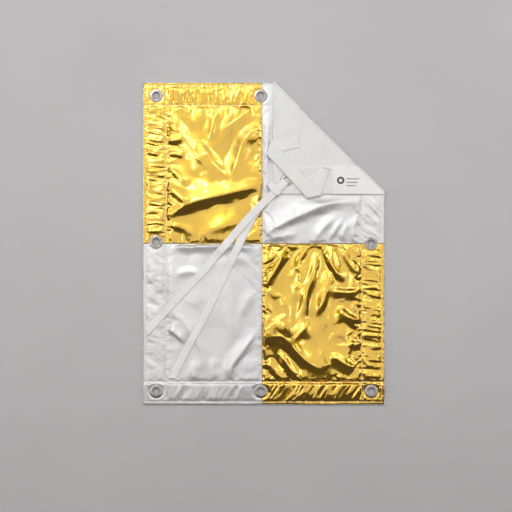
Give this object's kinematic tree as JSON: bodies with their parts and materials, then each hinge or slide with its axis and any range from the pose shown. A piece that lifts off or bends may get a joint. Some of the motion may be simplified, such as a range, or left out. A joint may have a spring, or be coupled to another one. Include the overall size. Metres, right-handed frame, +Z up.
{
  "type": "folding reflective sheet",
  "caption": "Rectangular chequered gold and silver reflective sheet with a webbing hem, grommets and one corner turned over, with a webbing loop and a hitched tie tape.",
  "frame": {"origin": "on the surface it lies on, under the centre of the sheet", "axes": "+X to the sheet's right, +Y up the sheet along its long side, +Z up, to the metallic front"},
  "size_m": [0.4572, 0.6096, 0.0141],
  "materials": {
    "gold_lame": "metallic lame, bright gold",
    "silver_lame": "metallic lame, bright silver",
    "backing_cloth": "matte white woven",
    "hem_webbing": "matte white webbing",
    "thread": "white polyester thread",
    "grommet_metal": "nickel plated",
    "label_cloth": "smooth white",
    "label_ink": "printed, black",
    "loop_webbing": "matte white webbing",
    "tie_tape": "soft white twill tape"
  },
  "bodies": {
    "upper_half": {"gold_face_upper_left": "gold_lame", "silver_face_upper_right": "silver_lame", "silver_face_left_strip": "silver_lame", "gold_face_right_strip": "gold_lame", "backing_upper": "backing_cloth", "hem_webbing_top": "hem_webbing", "hem_webbing_left_upper": "hem_webbing", "hem_webbing_right_upper": "hem_webbing", "hem_stitching_upper": "thread", "seam_stitching_upper": "thread", "eyelet_upper_left": "grommet_metal", "eyelet_top_middle": "grommet_metal", "eyelet_left_middle": "grommet_metal", "eyelet_right_middle": "grommet_metal", "washer_upper_left": "grommet_metal", "washer_top_middle": "grommet_metal", "washer_left_middle": "grommet_metal", "washer_right_middle": "grommet_metal", "label_sheet_part": "label_cloth"},
    "lower_half": {"silver_face_lower_left": "silver_lame", "gold_face_lower_right": "gold_lame", "backing_lower": "backing_cloth", "hem_webbing_bottom": "hem_webbing", "hem_webbing_left_lower": "hem_webbing", "hem_webbing_right_lower": "hem_webbing", "hem_stitching_lower": "thread", "seam_stitching_lower": "thread", "eyelet_lower_left": "grommet_metal", "eyelet_bottom_middle": "grommet_metal", "eyelet_lower_right": "grommet_metal", "washer_lower_left": "grommet_metal", "washer_bottom_middle": "grommet_metal", "washer_lower_right": "grommet_metal"},
    "corner_flap": {"silver_face_corner": "silver_lame", "backing_corner": "backing_cloth", "hem_webbing_top_corner": "hem_webbing", "hem_webbing_right_corner": "hem_webbing", "hem_stitching_corner": "thread", "eyelet_corner": "grommet_metal", "washer_corner": "grommet_metal", "label_corner_part": "label_cloth", "label_mark": "label_ink", "corner_loop_webbing": "loop_webbing", "tie_hitch": "tie_tape", "tie_tail_left": "tie_tape", "tie_tail_right": "tie_tape"}
  },
  "joints": [
    {"name": "corner_fold", "type": "hinge", "parent": "upper_half", "child": "corner_flap", "pos_m": [0.1231, 0.1993, 0.0052], "axis": [-0.7071, 0.7071, 0], "range_deg": [0, 180]},
    {"name": "half_fold", "type": "hinge", "parent": "upper_half", "child": "lower_half", "pos_m": [0, -0.018, -0.0015], "axis": [1, 0, 0], "range_deg": [0, 180]}
  ]
}
